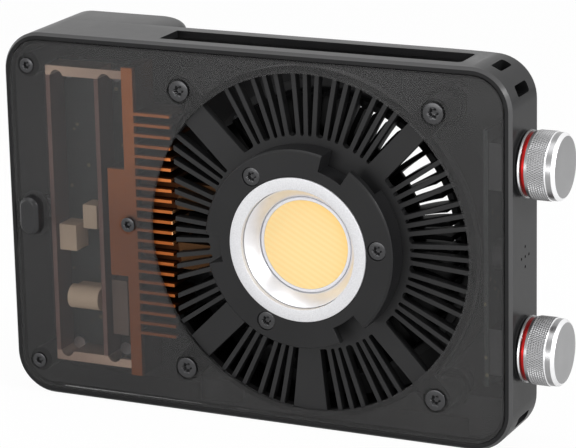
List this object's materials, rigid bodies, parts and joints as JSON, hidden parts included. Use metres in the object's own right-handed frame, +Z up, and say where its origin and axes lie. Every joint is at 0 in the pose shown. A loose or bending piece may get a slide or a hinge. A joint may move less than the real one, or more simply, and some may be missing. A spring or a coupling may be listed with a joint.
{
  "type": "led video light",
  "caption": "Slab-shaped LED studio light with round cooling grille, bayonet hub, bright reflector, smoked front panel over a copper comb, rear grip and side dials.",
  "frame": {"origin": "mouth of the tripod socket in the bottom face, at half the depth of the slab", "axes": "+X towards the two dials, +Y to the back with the grip, +Z up; light leaves along -Y"},
  "size_m": [0.1522, 0.0375, 0.0985],
  "materials": {
    "housing_black": "satin fine texture",
    "panel_smoked": "smoked translucent satin",
    "grille_dark": "matte",
    "hub_dark": "matte fine texture",
    "white_trim": "bead blasted silver white",
    "reflector_bright": "polished",
    "led_white": "glossy",
    "phosphor_yellow": "satin",
    "ceramic_white": "matte",
    "copper": "brushed",
    "steel": "brushed",
    "screw_black": "black oxide",
    "fan_black": "matte",
    "magnet_grey": "matte",
    "lamination": "plain",
    "board_green": "solder mask",
    "shield_tin": "plated",
    "coil_tan": "tape",
    "ferrite": "matte",
    "capacitor_sleeve": "sleeved",
    "socket_black": "moulded",
    "brass_bright": "turned",
    "display_glass": "gloss",
    "knob_silver": "turned and knurled",
    "ring_red": "anodised",
    "seat_black": "matte",
    "button_black": "satin"
  },
  "bodies": {
    "housing": {"main_housing": "housing_black", "grip_shell": "housing_black", "front_panel": "panel_smoked", "front_grille": "grille_dark", "bayonet_hub": "hub_dark", "led_trim_ring": "white_trim", "led_reflector": "reflector_bright", "led_dam": "led_white", "led_phosphor": "phosphor_yellow", "led_substrate": "ceramic_white", "cold_plate": "copper", "heat_pipes": "copper", "fin_comb": "copper", "fan_scroll": "fan_black", "fan_stator": "lamination", "fan_coils": "copper", "fan_bearings": "brass_bright", "motor_board": "board_green", "rear_guard": "grille_dark", "driver_board": "board_green", "driver_frame": "shield_tin", "driver_transformer": "coil_tan", "driver_capacitors": "coil_tan", "driver_choke": "ferrite", "bulk_capacitors": "capacitor_sleeve", "driver_screws": "steel", "inlet_board": "board_green", "dc_jack": "socket_black", "dc_jack_pin": "steel", "usb_c_port": "steel", "display_window": "display_glass", "display_module": "socket_black", "control_board": "board_green", "buzzer": "socket_black", "dial_nuts": "steel", "dial_seats": "seat_black", "release_spring": "steel", "tripod_insert": "brass_bright", "panel_screws_large": "screw_black", "panel_screws_small": "screw_black", "hub_screws": "screw_black", "guard_screws": "screw_black", "grip_screws": "screw_black", "lower_encoder": "socket_black", "upper_encoder": "socket_black"},
    "fan": {"fan_impeller": "fan_black", "fan_shaft": "steel", "fan_magnet": "magnet_grey"},
    "release": {"release_button": "button_black", "release_clip": "steel"},
    "lower_push": {"lower_plunger": "socket_black"},
    "upper_push": {"upper_plunger": "socket_black"},
    "lower_dial": {"lower_dial_shaft": "steel", "lower_dial_knob": "knob_silver", "lower_dial_ring": "ring_red"},
    "upper_dial": {"upper_dial_shaft": "steel", "upper_dial_knob": "knob_silver", "upper_dial_ring": "ring_red"}
  },
  "joints": [
    {"name": "fan_spin", "type": "hinge", "parent": "housing", "child": "fan", "pos_m": [0.0295, 0.00255, 0.04925], "axis": [0, 1, 0], "continuous": true},
    {"name": "release_press", "type": "slide", "parent": "housing", "child": "release", "axis": [0, 1, 0], "range_m": [0, 0.0015], "stiffness_N_per_m": 900, "deforming": ["release_spring"]},
    {"name": "lower_dial_press", "type": "slide", "parent": "housing", "child": "lower_push", "axis": [-1, 0, 0], "range_m": [0, 0.0005], "stiffness_N_per_m": 4000},
    {"name": "lower_dial_turn", "type": "hinge", "parent": "lower_push", "child": "lower_dial", "pos_m": [0.089, 0.00035, 0.02535], "axis": [1, 0, 0], "continuous": true},
    {"name": "upper_dial_press", "type": "slide", "parent": "housing", "child": "upper_push", "axis": [-1, 0, 0], "range_m": [0, 0.0005], "stiffness_N_per_m": 4000},
    {"name": "upper_dial_turn", "type": "hinge", "parent": "upper_push", "child": "upper_dial", "pos_m": [0.089, 0.00035, 0.07315], "axis": [1, 0, 0], "continuous": true}
  ]
}
